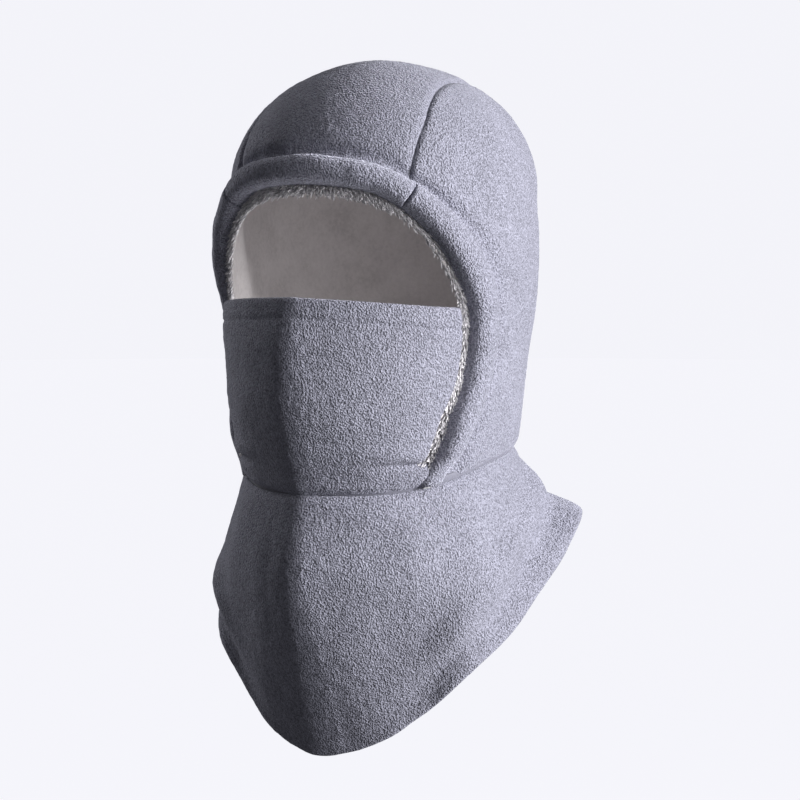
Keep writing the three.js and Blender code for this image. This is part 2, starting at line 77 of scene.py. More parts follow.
# Half width of the crown panel, and height of the neck seam, from front to back.
CROWN_PANEL = [(-100, 57), (-56, 57), (-39, 53.5), (-22, 50), (4, 46.5), (60, 40), (108, 34)]
NECK_SEAM = [
    (-100, -243), (-86, -242.8), (-75, -241.8), (-63, -240), (-41, -235.5), (-20, -231), (13, -226.5),
    (50, -224), (100, -223),
]
# Rim of the face opening from the brow down: angle round from the front, height, width of the binding.
RIM_STATIONS = [
    (0, -57.5, 16.5), (13, -59, 16), (26, -62.5, 16), (37, -70.5, 16), (52.7, -88, 17.5), (68.3, -115, 20),
    (74.3, -130, 20), (77.7, -145, 20.3), (78.6, -160, 19.9), (77.7, -177, 18.5), (75.6, -190, 17),
    (71.7, -202, 15.5), (67, -220, 13.9), (61.6, -233, 12.9), (57.1, -246, 13), (55.3, -254, 13),
]
BINDING_JOIN_X = 56
LINING_FRINGE = 5.5
MASK_CLEARANCE = 1.0
MASK_TOP_Z = -130
MASK_TOP_DIP = 6
MASK_HALF_WIDTH = 78
MASK_HEM = 12
FOLD_Z = -226
# The cape's hem and how far its cloth leans out: pairs of degrees round from the front and size.
HEM_RADIUS = [
    (0, 78), (15, 76), (30, 78), (45, 84), (60, 95.8), (75, 99), (90, 101), (110, 111.5), (124, 121.5),
    (140, 116), (160, 112), (180, 110),
]
HEM_Z = [
    (0, -399), (15, -395.3), (30, -386.4), (45, -366.7), (60, -340.4), (75, -326.6), (90, -309.8),
    (110, -284.6), (124, -265), (140, -262), (180, -260),
]
HEM_SAG_DEPTH, HEM_SAG_DEGREES, HEM_SAG_SPREAD = 8, 56, 17
LEAN_AT_SEAM = [(0, 20), (45, 19), (60, 8.3), (75, 15), (100, 12), (124, 6), (150, 10), (180, 14)]
LEAN_AT_HEM = [(0, -20), (45, -12), (60, -15), (75, -1), (100, 24), (124, 50), (150, 38), (180, 34)]
CAPE_TENSION = 0.42

# ---- Dimensions of the visual model ----------------------

FLEECE = 2.4
# The lining lies between these two depths under the hood's surface.
LINING_FRONT = 3.0
LINING_BACK = 5.6
LINING_THICKNESS = LINING_BACK - LINING_FRONT

SEAM_SINK = 1.5
SEAM_WIDTH = 3.2
UNDER_BINDING = 2.5
# How deep the threads, the neck's flat tape and the rim's elastic lie, and the tape's width to thickness.
THREAD_DEPTH, TAPE_DEPTH, ELASTIC_DEPTH = 2.1, 2.9, 1.7
TAPE_FLATNESS = 6.0
# Half the thickness of each elastic, and its width to thickness.
RIM_ELASTIC, HEM_ELASTIC = (0.4, 7.0), (0.35, 9.0)

# The groove beside the binding, each as a pair: at the crown, and low on the sides.
GROOVE_SINK = (2.6, 3.4)
GROOVE_WIDTH = (4.6, 8.0)
GROOVE_AWAY = (3.4, 8.0)
THINNEST = 0.8
# The lining gives way inwards behind that groove.
LINING_PRESS = 3.4
LINING_PRESS_AWAY = 27
LINING_PRESS_WIDTH = 12

# The soft fold down the middle of the mask and the cape's front.
RIDGE_RADIUS = 7.0
RIDGE_SPREAD = 15.0
RIDGE_HEIGHT = 4.4

HEM_STITCH_DIP = 0.9
HEM_FOLD = 2.6
CAPE_HEM = 10
CAPE_HEM_FOLD = 2.4
CAPE_SLACK = 1.3

BINDING_SIDES = 40
BINDING_HEIGHT = 8.6
BINDING_ROOT = 3.0
# Half width of a roll where it meets the neck seam, and how far the rolls are pinched at a join.
BINDING_FOOT = 6.2
PINCH_LENGTH = 2.2
# The binding at the wearer's right lies flatter, by this share.
RIGHT_FLATTENED = 0.5

# How far the lining's pile reaches past the binding: pairs of station and length.
FRINGE_REACH = [(0, 5.6), (2.2, 5.2), (3.4, 3.8), (7, 3.6), (9, 5), (12, 6.2), (15, 6.2)]
TUFT_SIDES = 4
# Rings of a tuft: share of its length, share of its radius.
TUFT_RINGS = ((0.0, 0.8), (0.3, 1.0), (0.6, 0.8), (0.85, 0.45))

# Spacing of the mesh next to an edge.
EDGE_STOPS = np.array([0, 0.25, 0.6, 1.05, 1.6, 2.4, 3.5])
ALL_EDGES = ("top", "bottom", "first", "last")

HOOD, MASK = "hood", "mask"
SIDES = ((1, "left"), (-1, "right"))

# ---- Camera and studio, in metres and degrees ------------

VIEW_TURN = math.radians(28)
VIEW_RISE = math.radians(5)
VIEW_DISTANCE = 1.7
VIEW_CENTRE = (0.0, 0.0, -0.2)
FOCAL_LENGTH = 127.5
FRAME_SHIFT = (0.0108, 0.0040)
FLOOR_Z = -0.75
FLOOR_RADIUS = 8.0
PALE = (0.90, 0.90, 0.95, 1)
FILL_LIGHT = 0.105
LIGHT_SPREAD = math.radians(110)
# Name, place, aim, size, watts and, where it isn't white, colour.
LIGHTS = [
    ("key", (1.74, 0.34, 0.22), (0, 0, -0.2), (0.30, 0.55), 22),
    ("second", (1.69, -0.47, 0.10), (0, 0, -0.2), (0.25, 0.50), 6.0),
    ("rim", (-1.17, 0.38, 0.3), (0, 0, -0.15), (0.4, 0.9), 3.4),
    ("front", (0.5, -1.9, 0.0), (0, 0, -0.15), (0.4, 0.4), 0.12),
    ("brow", (0.01, -0.075, -0.16), (0.0, -0.11, -0.06), (0.02, 0.02), 0.015),
    ("inside", (0.052, -0.035, -0.175), (-0.08, 0.02, -0.10), (0.04, 0.04), 0.022, (1.0, 0.985, 0.985)),
]


# ---- Curves and surfaces ---------------------------------

class Curve:
    """Smooth curve through (x, value) pairs that never overshoots them."""

    def __init__(self, pairs):
        self.x, self.v = np.array(pairs, float).T
        step = np.diff(self.v) / np.diff(self.x)
        before, after = step[:-1], step[1:]
        total = np.where(before * after > 0, before + after, 1.0)
        self.m = np.zeros(len(self.x))
        self.m[1:-1] = np.where(before * after > 0, 2 * before * after / total, 0.0)

    def __call__(self, x):
        x = np.clip(x, self.x[0], self.x[-1])
        i = np.clip(np.searchsorted(self.x, x, side="right") - 1, 0, len(self.x) - 2)
        width = self.x[i + 1] - self.x[i]
        u = (x - self.x[i]) / width
        a, b = self.m[i] * width, self.m[i + 1] * width
        ends = self.v[i] * (1 + 2 * u) * (1 - u) ** 2 + self.v[i + 1] * u * u * (3 - 2 * u)
        return ends + a * u * (1 - u) ** 2 - b * u * u * (1 - u)


HALF_WIDTH, FRONT, BACK = Curve(HOOD_HALF_WIDTH), Curve(HOOD_FRONT), Curve(HOOD_BACK)
ACROSS, ALONG, BEHIND = Curve(FRONT_ACROSS), Curve(FRONT_ALONG), Curve(BACK_POWER)
CROWN_WIDTH, SEAM_Z, REACH = Curve(CROWN_PANEL), Curve(NECK_SEAM), Curve(FRINGE_REACH)


def stack(x, y, z):
    x, y, z = np.broadcast_arrays(x, y, z)
    return np.stack([x, y, z], -1).astype(float)


def hood_half(z, is_front):
    """Depth and powers of the half, front or back, that a point lies in."""
    behind = BEHIND(z)
    return (
        np.where(is_front, FRONT(z), BACK(z)),
        np.where(is_front, ACROSS(z), behind),
        np.where(is_front, ALONG(z), behind),
    )


def hood_point(z, angle):
    """Point of the outer surface at a height and an angle round from the front."""
    z, angle = np.broadcast_arrays(np.asarray(z, float), np.asarray(angle, float))
    rise = np.maximum(z - WIDEST_Z, 0) / DOME
    shrink = np.sqrt(np.clip(1 - rise * rise, 0, 1))
    s, c = np.sin(angle), np.cos(angle)
    depth, across, along = hood_half(z, c > 0)
    x = np.sign(s) * HALF_WIDTH(z) * np.abs(s) ** (2 / across)
    y = -np.sign(c) * depth * np.abs(c) ** (2 / along)
    return stack(x * shrink, y * shrink, z)


def level_to_z(level):
    """Height of a level that runs on evenly over the dome."""
    turn = np.maximum(level - WIDEST_Z, 0) / DOME
    return np.where(level < WIDEST_Z, level, WIDEST_Z + DOME * np.sin(turn))


def z_to_level(z):
    rise = np.clip((z - WIDEST_Z) / DOME, 0, 1)
    return np.where(z < WIDEST_Z, z, WIDEST_Z + DOME * np.arcsin(rise))


def hood_field(p):
    """Zero on the outer surface, negative inside it."""
    x, y, z = p[..., 0], p[..., 1], p[..., 2]
    depth, across, along = hood_half(z, y < 0)
    total = np.abs(x / HALF_WIDTH(z)) ** across + np.abs(y / depth) ** along
    rise = np.maximum(z - WIDEST_Z, 0) / DOME
    return total ** (4 / (across + along)) + rise * rise - 1


def hood_gradient(p):
    h = 0.05
    steps = np.eye(3) * h
    return np.stack([(hood_field(p + s) - hood_field(p - s)) / (2 * h) for s in steps], -1)


def bell(x, width):
    return np.exp(-((x / width) ** 2))


def smooth(x, low, high):
    u = np.clip((x - low) / (high - low), 0, 1)
    return u * u * (3 - 2 * u)


def travelled_along(path):
    """Distance along a line of points, from its first."""
    return np.concatenate([[0], np.cumsum(np.linalg.norm(np.diff(path, axis=0), axis=1))])


def unit(v):
    return v / np.maximum(np.linalg.norm(v, axis=-1, keepdims=True), 1e-12)


def hood_normal(p):
    return unit(hood_gradient(p))


def onto_hood(p):
    for _ in range(3):
        g = hood_gradient(p)
        p = p - g * (hood_field(p) / np.sum(g * g, -1))[..., None]
    return p


def plan_angle(p):
    """Angle round from the front that gives a point of the hood's surface."""
    z = p[..., 2]
    depth, across, along = hood_half(z, p[..., 1] < 0)
    s = np.abs(p[..., 0] / HALF_WIDTH(z)) ** (across / 2) * np.sign(p[..., 0])
    c = np.abs(p[..., 1] / depth) ** (along / 2) * -np.sign(p[..., 1])
    return np.arctan2(s, c)


# ---- The rim of the face opening -------------------------

def mirrored(column, sign):
    right = [(i, station[column]) for i, station in enumerate(RIM_STATIONS)]
    left = [(-i, sign * value) for i, value in reversed(right[1:])]
    return Curve(left + right)


RIM_ANGLE, RIM_HEIGHT, RIM_WIDTH = mirrored(0, -1), mirrored(1, 1), mirrored(2, 1)
RIM_END = len(RIM_STATIONS) - 1
FRINGE_END = RIM_END - 1.6


def rim_point(station):
    return hood_point(RIM_HEIGHT(station), np.radians(RIM_ANGLE(station)))


def even_stations(start, end, steps):
    """Stations spaced evenly along the rim."""
    fine = np.linspace(start, end, 3000)
    travelled = travelled_along(rim_point(fine))
    return np.interp(np.linspace(0, travelled[-1], steps + 1), travelled, fine), travelled[-1]


def rim_offset(station, across, height):
    """Point at a distance over the cloth from the rim (positive away from the opening) and above it."""
    station, across, height = np.broadcast_arrays(station, across, height)
    point = rim_point(station)
    tangent = unit(rim_point(station + 0.02) - rim_point(station - 0.02))
    outward = unit(np.cross(hood_normal(point), tangent))
    p = onto_hood(point + outward * across[..., None])
    return p + hood_normal(p) * height[..., None]


def half_binding(station):
    return RIM_WIDTH(station) / 2


def solve(value, low, high, rounds=50):
    """Bisection for where a rising function of arrays crosses zero."""
    low, high = np.broadcast_arrays(np.asarray(low, float), np.asarray(high, float))
    low, high = low.copy(), high.copy()
    for _ in range(rounds):
        middle = (low + high) / 2
        below = value(middle) < 0
        low, high = np.where(below, middle, low), np.where(below, high, middle)
    return (low + high) / 2


JOIN_STATION = float(solve(lambda s: rim_point(s)[..., 0] - BINDING_JOIN_X, 0.0, 5.0))


# ---- Crown, neck and cape surfaces -----------------------

def crown_point(share, angle):
    """Point at a share of the crown panel's half width, on a ray in the middle plane."""
    share, angle = np.broadcast_arrays(np.asarray(share, float), np.asarray(angle, float))

    def at(reach):
        y = -reach * np.cos(angle)
        return stack(share * CROWN_WIDTH(y), y, WIDEST_Z + reach * np.sin(angle))

    return at(solve(lambda reach: hood_field(at(reach)), 0.0, 200.0))


def neck_point(angle):
    z = np.full(np.shape(angle), -240.0)
    for _ in range(8):
        z = SEAM_Z(hood_point(z, angle)[..., 1])
    return hood_point(z, angle)


HEM_R, HEM_HEIGHT = Curve(HEM_RADIUS), Curve(HEM_Z)
SEAM_LEAN, HEM_LEAN = Curve(LEAN_AT_SEAM), Curve(LEAN_AT_HEM)


def hem_height(angle):
    degrees = np.degrees(angle)
    sag = bell(degrees - HEM_SAG_DEGREES, HEM_SAG_SPREAD)
    return HEM_HEIGHT(np.abs(degrees)) - HEM_SAG_DEPTH * sag


def cape_point(angle, fall):
    angle, fall = np.broadcast_arrays(np.asarray(angle, float), np.asarray(fall, float))
    degrees = np.degrees(np.abs(angle))
    top = neck_point(angle)
    out = stack(np.sin(angle), -np.cos(angle), 0.0)
    hem = out * HEM_R(degrees)[..., None]
    hem[..., 2] = hem_height(angle)
    pull = np.linalg.norm(hem - top, axis=-1, keepdims=True) * CAPE_TENSION

    def lean(curve):
        a = np.radians(curve(degrees))[..., None]
        return out * np.sin(a) + np.array([0, 0, -1.0]) * np.cos(a)

    a, b = top + lean(SEAM_LEAN) * pull, hem - lean(HEM_LEAN) * pull
    w = fall[..., None]
    return top * (1 - w) ** 3 + 3 * a * w * (1 - w) ** 2 + 3 * b * w * w * (1 - w) + hem * w ** 3


def cape_normal(angle, fall):
    around = cape_point(angle + 0.002, fall) - cape_point(angle - 0.002, fall)
    down = cape_point(angle, np.minimum(fall + 0.004, 1)) - cape_point(angle, np.maximum(fall - 0.004, 0))
    return unit(np.cross(down, around))


# ---- Noise -----------------------------------------------

def lattice(i, j, k, seed):
    """A fixed random value from -1 to 1 for each point of a grid."""
    n = (i * 73856093) ^ (j * 19349663) ^ (k * 83492791) ^ (seed * 2654435761)
    n = (n ^ (n >> 13)) & 0xFFFFFFFF
    n = (n * 1274126177) & 0xFFFFFFFF
    n = (n ^ (n >> 16)) & 0xFFFF
    return n / 32767.5 - 1


def noise(p, size, seed=1):
    """Smooth noise from -1 to 1 whose lumps are about size millimetres across."""
    q = np.asarray(p, float) / size + 1000
    base = np.floor(q).astype(np.int64)
    f = q - base
    f = f * f * (3 - 2 * f)
    total = 0
    for corner in np.ndindex(2, 2, 2):
        weight = np.prod(np.abs(1 - np.array(corner) - f), axis=-1)
        i, j, k = np.moveaxis(base + corner, -1, 0)
        total = total + weight * lattice(i, j, k, seed)
    return total


def pile(p):
    """Pebbled pile of brushed fleece."""
    return 0.15 * noise(p, 1.7, 3) + 0.16 * noise(p, 2.9, 4) + 0.08 * noise(p, 6.5, 5)


def slack(p):
    """Soft unevenness of cloth with nothing pulling it quite tight."""
    return 0.75 * noise(p, 46, 8) + 0.35 * noise(p, 21, 9) + 0.12 * noise(p, 10, 10)


def plush(p):
    return 0.1 * noise(p, 2.6, 12) + 0.12 * noise(p, 7, 13)


# ---- Meshes ----------------------------------------------

def stops(length, cells, start=True, end=True):
    """Shares of a line, closer together by the ends that are asked for."""
    length = np.asarray(length, float)[..., None]
    fine = EDGE_STOPS * np.minimum(1, length / 22) / length
    head = fine if start else fine[..., :1]
    tail = 1 - fine[..., ::-1] if end else 1 - fine[..., :1]
    inner = cells + 1 - head.shape[-1] - tail.shape[-1]
    ramp = np.linspace(0, 1, inner + 2)[1:-1]
    middle = head[..., -1:] + (tail[..., :1] - head[..., -1:]) * ramp
    return np.concatenate([head, middle, tail], -1)


def line_lengths(points, axis):
    return np.sum(np.linalg.norm(np.diff(points, axis=axis), axis=-1), axis=axis)


def edge_distance(points, sides):
    """Distance over the cloth to the nearest of the named edges.

    The grid's first row is its top edge and its last row its bottom; first and last are its end columns.
    """
    far = np.full(points.shape[:2], 1e3)
    for axis, low, high in ((0, "top", "bottom"), (1, "first", "last")):
        step = np.linalg.norm(np.diff(points, axis=axis), axis=-1)
        pad = [(0, 0), (0, 0)]
        pad[axis] = (1, 0)
        run = np.pad(np.cumsum(step, axis=axis), pad)
        total = np.take(run, [-1], axis=axis)
        if low in sides:
            far = np.minimum(far, run)
        if high in sides:
            far = np.minimum(far, total - run)
    return far


def sheet_faces(rows, columns):
    a = np.arange(rows * columns).reshape(rows, columns)
    b = a + rows * columns
    outer = np.stack([a[:-1, :-1], a[1:, :-1], a[1:, 1:], a[:-1, 1:]], -1).reshape(-1, 4)
    inner = np.stack([b[:-1, 1:], b[1:, 1:], b[1:, :-1], b[:-1, :-1]], -1).reshape(-1, 4)
    walls = [
        np.stack([a[0, :-1], a[0, 1:], b[0, 1:], b[0, :-1]], -1),
        np.stack([a[-1, 1:], a[-1, :-1], b[-1, :-1], b[-1, 1:]], -1),
        np.stack([a[1:, 0], a[:-1, 0], b[:-1, 0], b[1:, 0]], -1),
        np.stack([a[:-1, -1], a[1:, -1], b[1:, -1], b[:-1, -1]], -1),
    ]
    return np.concatenate([outer, inner, *walls])


def make_object(name, points, faces):
    """A smooth-shaded object from millimetre points."""
    mesh = bpy.data.meshes.new(name)
    mesh.from_pydata((points.reshape(-1, 3) * MM).tolist(), [], faces)
    mesh.polygons.foreach_set("use_smooth", np.ones(len(mesh.polygons), bool))
    mesh.validate()
    mesh.update()
    piece = bpy.data.objects.new(name, mesh)
    bpy.context.scene.collection.objects.link(piece)
    return piece


def sheet_object(name, outer, inner):
    faces = sheet_faces(*outer.shape[:2])
    points = np.concatenate([outer.reshape(-1, 3), inner.reshape(-1, 3)])
    middle = outer.shape[0] // 2, outer.shape[1] // 2
    across = outer[middle[0], middle[1] + 1] - outer[middle]
    down = outer[middle[0] + 1, middle[1]] - outer[middle]
    if np.dot(np.cross(down, across), outer[middle] - inner[middle]) < 0:
        faces = faces[:, ::-1]
    return make_object(name, points, faces.tolist())


def rounded(distance, thickness, radius=1.5):
    """How far both faces of a cloth draw together at an edge."""
    k = np.clip(1 - distance / radius, 0, 1)
    return (thickness / 2 - 0.2) * (1 - np.sqrt(1 - k * k))


def cloth(name, points, normals, outer, inner):
    """Sheet between two heights over a surface."""
    return sheet_object(name, points + normals * outer[..., None], points + normals * inner[..., None])


def lining(name, points, normals, base, edges):
    """Lining under a surface, rounded off at the named edges."""
    close = rounded(edge_distance(points, edges), LINING_THICKNESS)
    inner = base - LINING_BACK + close - plush(points)
    return cloth(name, points, normals, base - LINING_FRONT - close, inner)


# ---- Handing pieces over ---------------------------------

def hand_over(piece, slot, nodes=(), across_fold=False):
    """Give a piece its finish and the CAD nodes that it stands for; a piece across the fold is fixed where
    it lies, and any other gets the hood as the body that it moves with.
    """
    if nodes:
        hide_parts(*nodes)
    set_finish(piece, slot)
    if across_fold:
        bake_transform(piece)
    else:
        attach(piece, HOOD)


def hand_over_sheet(piece, slot, nodes, across_fold=False):
    """Hand over a cloth piece."""
    hand_over(piece, slot, nodes, across_fold)


# ---- Hood panels -----------------------------------------

def rim_crossing(share, across):
    """Angle of the ray where the crown panel at a share of its width meets a line along the brow."""
    stations = np.linspace(-6, 6, 1200)
    line = rim_offset(stations, across(stations), 0.0)
    portion = line[:, 0] / CROWN_WIDTH(line[:, 1])
    order = np.argsort(portion)
    angles = np.arctan2(line[:, 2] - WIDEST_Z, -line[:, 1])
    return np.interp(share, portion[order], angles[order])


def nape_crossing(share):
    """Angle of the ray where the crown panel meets the neck seam behind."""
    def above(angle):
        p = crown_point(share, angle)
        return SEAM_Z(p[..., 1]) - p[..., 2]

    return solve(above, np.full(np.shape(share), math.radians(200)), math.radians(250))


def crown_grid(columns, rows, across):
    """From the brow's rim back to the neck seam, between the two crown seams."""
    share = 2 * stops(96.0, columns) - 1
    start = rim_crossing(share, across)
    end = nape_crossing(share)
    run = stops(400.0, rows)
    angle = start[None, :] + (end - start)[None, :] * run[:, None]
    return crown_point(share[None, :], angle)


def even_along(points, shares):
    """Points at shares of a polyline's length."""
    run = travelled_along(points)
    run = run / run[-1]
    return np.stack([np.interp(shares, run, points[:, k]) for k in range(3)], -1)


def side_grid(side, columns, rows, across):
    """From the rim back to the crown seam, in lines that fan out from the brow down to the neck."""
    stations = np.linspace(JOIN_STATION, RIM_END - 0.3, 1500) * side
    rim = rim_offset(stations, across(stations), 0.0)
    above_seam = rim[:, 2] > SEAM_Z(rim[:, 1])
    rim = rim[: np.argmin(above_seam)] if not above_seam.all() else rim
    first = float(rim_crossing(np.array([float(side)]), across)[0])
    last = float(nape_crossing(np.array([float(side)]))[0])
    seam = crown_point(float(side), np.linspace(first, last, 900))
    run = stops(310.0, rows, start=False)
    run = 0.006 + 0.994 * run
    near, far = even_along(rim, run), even_along(seam, run)
    turn = plan_angle(near)[:, None], plan_angle(far)[:, None]
    level = z_to_level(near[:, 2])[:, None], z_to_level(far[:, 2])[:, None]

    def between(pair, share):
        return pair[0] + (pair[1] - pair[0]) * share

    def surface(share):
        lowest_turn = between([end[-1] for end in turn], share)
        lowest_level = between([end[-1] for end in level], share)
        drop = (run[:, None] ** 5) * (neck_point(lowest_turn)[..., 2] - lowest_level)
        return hood_point(level_to_z(between(level, share) + drop), between(turn, share))

    lengths = line_lengths(surface(np.linspace(0, 1, 160)[None, :]), 1)
    return surface(stops(lengths, columns))


def outer_panel(name, points, edges, rim_edge):
    """A fleece panel: sunk at its seams, and pulled into a groove beside the binding."""
    normals = hood_normal(points)
    gap = edge_distance(points, edges)
    lower = 0.0
    if rim_edge == "first":
        lower = smooth(np.linspace(0, 1, points.shape[0]), 0.08, 0.4)[:, None]
    depth, width, away = (a + (b - a) * lower for a, b in (GROOVE_SINK, GROOVE_WIDTH, GROOVE_AWAY))
    beside = edge_distance(points, (rim_edge,)) - UNDER_BINDING - away
    groove = depth * bell(beside, width)
    groove *= 1 - 0.4 * bell(gap, SEAM_WIDTH)
    base = slack(points) - SEAM_SINK * bell(gap, SEAM_WIDTH)
    close = rounded(gap, FLEECE)
    inner = base - FLEECE + close - np.maximum(groove - FLEECE + THINNEST, 0)
    return cloth(name, points, normals, base + pile(points) - close - groove, inner)


def lining_panel(name, points, edges, rim_edge):
    """A lining panel, pressed inwards behind the groove beside the binding."""
    behind = edge_distance(points, (rim_edge,)) - LINING_PRESS_AWAY
    base = slack(points) * 0.5 - LINING_PRESS * bell(behind, LINING_PRESS_WIDTH)
    return lining(name, points, hood_normal(points), base, edges)


def under_binding(station):
    return half_binding(station) - UNDER_BINDING


def fringe_edge(station):
    return -half_binding(station) - REACH(np.abs(station))


def mask_edge(station):
    return -half_binding(station) - LINING_FRINGE - MASK_CLEARANCE


def hood_panels():
    points = crown_grid(84, 300, under_binding)
    crown = outer_panel("crown_cloth", points, ("bottom", "first", "last"), "top")
    hand_over_sheet(crown, "fleece", ("crown_panel",))
    for side, word in SIDES:
        points = side_grid(side, 112, 240, under_binding)
        panel = outer_panel(f"{word}_side_cloth", points, ("bottom", "last"), "first")
        hand_over_sheet(panel, "fleece", (f"{word}_side_panel",))


def hood_linings():
    crown = lining_panel("crown_plush", crown_grid(44, 150, fringe_edge), ("top", "bottom"), "top")
    hand_over_sheet(crown, "plush_lining", ("crown_lining",))
    for side, word in SIDES:
        points = side_grid(side, 60, 130, fringe_edge)
        panel = lining_panel(f"{word}_plush", points, ("bottom", "first"), "first")
        hand_over_sheet(panel, "plush_lining", (f"{word}_lining",))


# ---- Face mask -------------------------------------------

def edge_angles(across):
    """Plan angle against height of a line along the rim's side."""
    stations = np.linspace(3.0, RIM_END, 1200)
    line = rim_offset(stations, across(stations), 0.0)
    keep = np.concatenate([[True], np.diff(line[:, 2]) < 0])
    line = line[keep]
    order = np.argsort(line[:, 2])
    return line[order, 2], np.abs(plan_angle(line))[order]


def mask_top(z, angle):
    """Height of the mask's top edge, which dips towards the cheeks."""
    return MASK_TOP_Z - MASK_TOP_DIP * (hood_point(z, angle)[..., 0] / MASK_HALF_WIDTH) ** 2


def mask_grid(columns, rows):
    """From the neck seam up to the mask's top edge, wider under the binding below the fold."""
    free_z, free_angle = edge_angles(mask_edge)
    strip_z, strip_angle = edge_angles(lambda s: -half_binding(s) + 3.0)
    share = 2 * stops(170.0, columns)[None, :] - 1
    climb = stops(112.0, rows)[:, None]
    z = -240 + climb * 108.0 + 0 * share
    for _ in range(12):
        free = np.interp(z, free_z, free_angle)
        strip = np.interp(z, strip_z, strip_angle)
        part = smooth(z, FOLD_Z - 0.3, FOLD_Z + 1.2)
        angle = share * (strip + (free - strip) * part)
        top = mask_top(z, angle)
        bottom = neck_point(angle)[..., 2]
        z = bottom + (top - bottom) * climb
    return hood_point(z, angle), z, top


def front_ridge(points):
    """Soft fold that stands along the middle line of the front."""
    x = points[..., 0]
    return RIDGE_HEIGHT * np.exp((RIDGE_RADIUS - np.sqrt(x * x + RIDGE_RADIUS ** 2)) / RIDGE_SPREAD)


def fold_crease(x, above_fold):
    """A line pressed in at the fold between two soft swellings, all growing towards the corners."""
    corner = smooth(np.abs(x), 26, 58)
    line = (1.5 * corner + 1.6 * corner ** 6) * bell(above_fold, 1.7)
    swellings = 1.5 * bell(above_fold - 5.5, 4.5) + 0.8 * bell(above_fold + 6, 4)
    return corner * swellings - line


def face_mask():
    """The mask and the chin strip in one cloth; returns the line of its hem's middle, and its normals."""
    points, z, top = mask_grid(150, 104)
    normals = hood_normal(points)
    gap = edge_distance(points, ALL_EDGES)
    seam = edge_distance(points, ("top",))
    base = slack(points) * 0.8 - SEAM_SINK * bell(seam, SEAM_WIDTH) + front_ridge(points)
    base += fold_crease(points[..., 0], z - FOLD_Z)
    below_top = top - z
    hem = 1 - smooth(below_top, MASK_HEM - 0.4, MASK_HEM + 0.9)
    base -= HEM_STITCH_DIP * bell(below_top - MASK_HEM, 0.9)
    base += 0.35 * hem
    thickness = FLEECE + HEM_FOLD * hem
    close = rounded(gap, thickness, 3.0)
    piece = cloth("mask_cloth", points, normals, base + pile(points) - close, base - thickness + close)
    hand_over_sheet(piece, "fleece", ("mask_outer", "chin_strip"), across_fold=True)
    middle = np.argmin(np.abs(below_top.mean(axis=1) - MASK_HEM / 2))
    inside = points + normals * (base - FLEECE - HEM_FOLD / 2 + 0.1)[..., None]
    return inside[middle, 4:-4], normals[middle, 4:-4]


def mask_plush():
    free_z, free_angle = edge_angles(lambda s: mask_edge(s) - 1.5)
    share = 2 * stops(150.0, 60)[None, :] - 1
    climb = stops(80.0, 40)[:, None]
    z = -220 + climb * 70.0 + 0 * share
    for _ in range(12):
        angle = share * np.interp(z, free_z, free_angle)
        top = mask_top(z, angle) - MASK_HEM - 1.5
        z = FOLD_Z + 1 + (top - FOLD_Z - 1) * climb
    points = hood_point(z, angle)
    base = slack(points) * 0.8 + front_ridge(points)
    piece = lining("mask_plush", points, hood_normal(points), base, ALL_EDGES)
    hand_over_sheet(piece, "plush_lining", ("mask_lining",), across_fold=True)


def chin_plush():
    strip_z, strip_angle = edge_angles(lambda s: fringe_edge(s) - 0.5)
    share = 2 * stops(120.0, 50)[None, :] - 1
    climb = stops(22.0, 16)[:, None]
    z = -235 + 0 * share + 0 * climb
    for _ in range(12):
        angle = share * np.interp(z, strip_z, strip_angle)
        bottom = neck_point(angle)[..., 2] + 0.4
        z = bottom + (FOLD_Z - 1 - bottom) * climb
    points = hood_point(z, angle)
    piece = lining("chin_plush", points, hood_normal(points), front_ridge(points), ALL_EDGES)
    hand_over_sheet(piece, "plush_lining", ("chin_strip_lining",))


# ---- Cape ------------------------------------------------

def cape_folds(angle, from_hem):
    """The channel along the hem and the ridge above it, where the hem flips out behind."""
    turn = smooth(np.degrees(np.abs(angle)), 20, 85)
    ridge = 3.2 * bell(from_hem - 36, 10)
    channel = -3.8 * bell(from_hem - 19, 8.0)
    lip = 1.6 * bell(from_hem, 7)
    return turn * (ridge + channel + lip)


def cape_ridge(points):
    """The front fold runs on down the cape and dies out above the hem; there is none behind."""
    fade = smooth(points[..., 2], -345, -275) * (points[..., 1] < 0)
    return fade * front_ridge(points)


def cape_grid(columns, rows, start, end, apart):
    """From the neck seam to the hem, all the way round; apart is half the gap at the centre back."""
    turn = math.pi - apart / 110
    angle = turn * (2 * stops(600.0, columns) - 1)[None, :]
    falls = np.linspace(0, 1, 120)
    coarse = cape_point(angle, falls[:, None])
    lengths = line_lengths(coarse, 0)
    steps = np.linalg.norm(np.diff(coarse, axis=0), axis=-1)
    run = np.concatenate([np.zeros((1, steps.shape[1])), np.cumsum(steps, axis=0)])
    goal = start + (lengths - start - end) * stops(lengths, rows).T
    fall = np.stack([np.interp(g, r, falls) for g, r in zip(goal.T, run.T)], 1)
    angle = angle + 0 * fall
    return cape_point(angle, fall), cape_normal(angle, fall), angle, lengths[None, :] - goal


def cape_cloth():
    points, normals, angle, from_hem = cape_grid(430, 112, 0.2, 0.0, 0.4)
    seams = edge_distance(points, ("top", "first", "last"))
    base = slack(points) * CAPE_SLACK + cape_folds(angle, from_hem) - SEAM_SINK * bell(seams, SEAM_WIDTH)
    base += cape_ridge(points) - 0.35 * bell(from_hem - CAPE_HEM, 1.2)
    hem = 1 - smooth(from_hem, CAPE_HEM - 0.5, CAPE_HEM + 1.0)
    thickness = FLEECE + CAPE_HEM_FOLD * hem
    close = rounded(edge_distance(points, ALL_EDGES), thickness, 2.2)
    piece = cloth("cape_cloth", points, normals, base + pile(points) - close, base - thickness + close)
    hand_over_sheet(piece, "fleece", ("cape_outer",))


